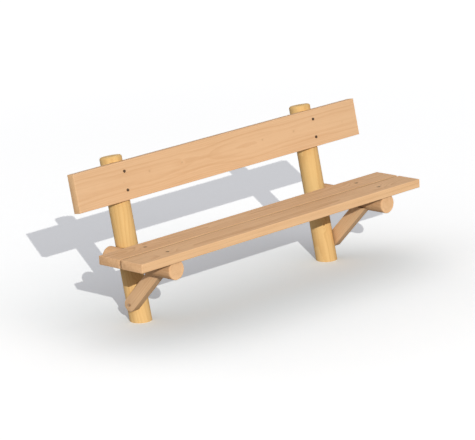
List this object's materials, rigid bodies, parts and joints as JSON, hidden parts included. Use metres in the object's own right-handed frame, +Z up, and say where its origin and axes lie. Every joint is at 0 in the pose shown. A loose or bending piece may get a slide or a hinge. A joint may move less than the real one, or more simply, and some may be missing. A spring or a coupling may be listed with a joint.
{
  "type": "rustic log bench",
  "caption": "Garden bench with a plank seat and back board on two leaning round log posts, with round log bearers and diagonal braces, to be anchored to the ground.",
  "frame": {"origin": "on the ground, in the middle of the bench's footprint (mid length, and halfway between the seat's front edge and the rearmost point of the leaning posts)", "axes": "+X along the bench, to the right of someone who looks at its front; +Y from the front to the back; +Z up"},
  "size_m": [2, 0.5887, 0.8278],
  "materials": {
    "post_wood": "oiled round timber, honey yellow",
    "bearer_wood": "oiled round timber, tan",
    "brace_wood": "oiled sawn timber, tan",
    "seat_wood": "oiled planed timber, tan brown",
    "back_board_wood": "oiled planed timber, tan",
    "dowel_wood": "plain hardwood",
    "bolt_steel": "weathered dark galvanised steel"
  },
  "bodies": {
    "root": {"post_left": "post_wood", "post_right": "post_wood", "bearer_left": "bearer_wood", "bearer_right": "bearer_wood", "brace_left": "brace_wood", "brace_right": "brace_wood", "seat_plank_front": "seat_wood", "seat_plank_rear": "seat_wood", "back_board": "back_board_wood", "back_board_screws": "bolt_steel", "seat_screws": "bolt_steel", "bearer_bolts": "bolt_steel", "bearer_bolt_head_washers": "bolt_steel", "bearer_bolt_nut_washers": "bolt_steel", "bearer_bolt_nuts": "bolt_steel", "brace_foot_screws": "bolt_steel", "brace_head_dowels": "dowel_wood"}
  },
  "joints": []
}
